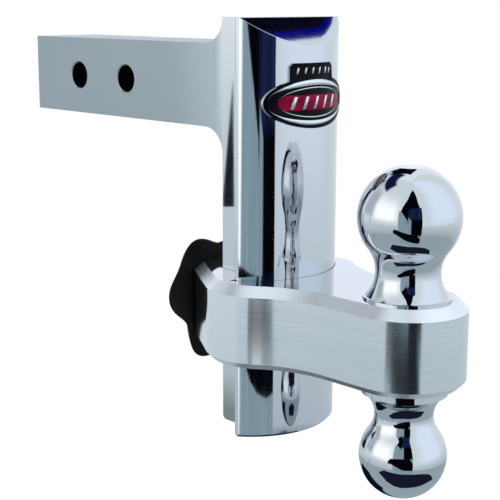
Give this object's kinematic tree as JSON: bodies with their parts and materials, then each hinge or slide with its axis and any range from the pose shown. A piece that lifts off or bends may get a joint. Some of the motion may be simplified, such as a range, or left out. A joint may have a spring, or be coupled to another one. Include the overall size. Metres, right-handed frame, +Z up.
{
  "type": "adjustable trailer hitch ball mount",
  "caption": "Height-adjustable trailer hitch: square receiver shank, bowed upright post, sliding ball mount with a large and a small tow ball, hand-knob height lock.",
  "frame": {"origin": "centre of the outer hitch-pin bore, on the shank's axis", "axes": "+X runs along the shank towards the tow balls, +Z is up, +Y completes the right-handed frame and lies along the hitch-pin bores"},
  "size_m": [0.3536, 0.1112, 0.273],
  "materials": {
    "forged_aluminium": "polished and brushed",
    "badge_chrome": "polished",
    "badge_black": "gloss",
    "badge_red": "gloss",
    "ball_chrome": "mirror plated",
    "zinc_steel": "zinc plated",
    "machined_steel": "machined",
    "knob_plastic": "fine grain",
    "lock_chrome": "satin plated",
    "lock_brass": "satin",
    "cover_chrome": "satin plated"
  },
  "bodies": {
    "drawbar": {"drawbar": "forged_aluminium", "badge_rim": "badge_chrome", "badge_field": "badge_black", "badge_bar": "badge_red"},
    "mount": {"ball_mount": "forged_aluminium", "upper_ball": "ball_chrome", "lower_ball": "ball_chrome", "ball_lock_washer": "zinc_steel", "ball_roll_pin": "zinc_steel", "lock_housing": "machined_steel", "housing_screws": "zinc_steel", "snap_ring": "machined_steel", "guide_screw": "zinc_steel"},
    "pin": {"lock_pin": "machined_steel"},
    "knob": {"knob": "knob_plastic", "drive_screw": "machined_steel", "knob_insert": "machined_steel", "knob_cross_pin": "machined_steel", "lock_shell": "lock_chrome", "cover_rivet": "zinc_steel"},
    "plug": {"lock_plug": "lock_brass", "lock_wafers": "lock_brass"},
    "cover": {"dust_cover": "cover_chrome"}
  },
  "joints": [
    {"name": "height_adjust", "type": "slide", "parent": "drawbar", "child": "mount", "axis": [0, 0, 1], "range_m": [-0.0508, 0.0508]},
    {"name": "knob_turn", "type": "hinge", "parent": "mount", "child": "knob", "pos_m": [0.1159, 0, -0.1374], "axis": [1, 0, 0], "range_deg": [0, 180]},
    {"name": "pin_slide", "type": "slide", "parent": "mount", "child": "pin", "axis": [1, 0, 0], "range_m": [0, 0.012]},
    {"name": "key_turn", "type": "hinge", "parent": "knob", "child": "plug", "pos_m": [0.1159, 0.02252, -0.1244], "axis": [1, 0, 0], "range_deg": [0, 90]},
    {"name": "cover_swing", "type": "hinge", "parent": "knob", "child": "cover", "pos_m": [0.096, 0.0123, -0.1303], "axis": [1, 0, 0], "range_deg": [0, 110]}
  ],
  "couplings": [
    {"joint": "pin_slide", "follows": "knob_turn", "m_per_rad": 0.003819}
  ]
}
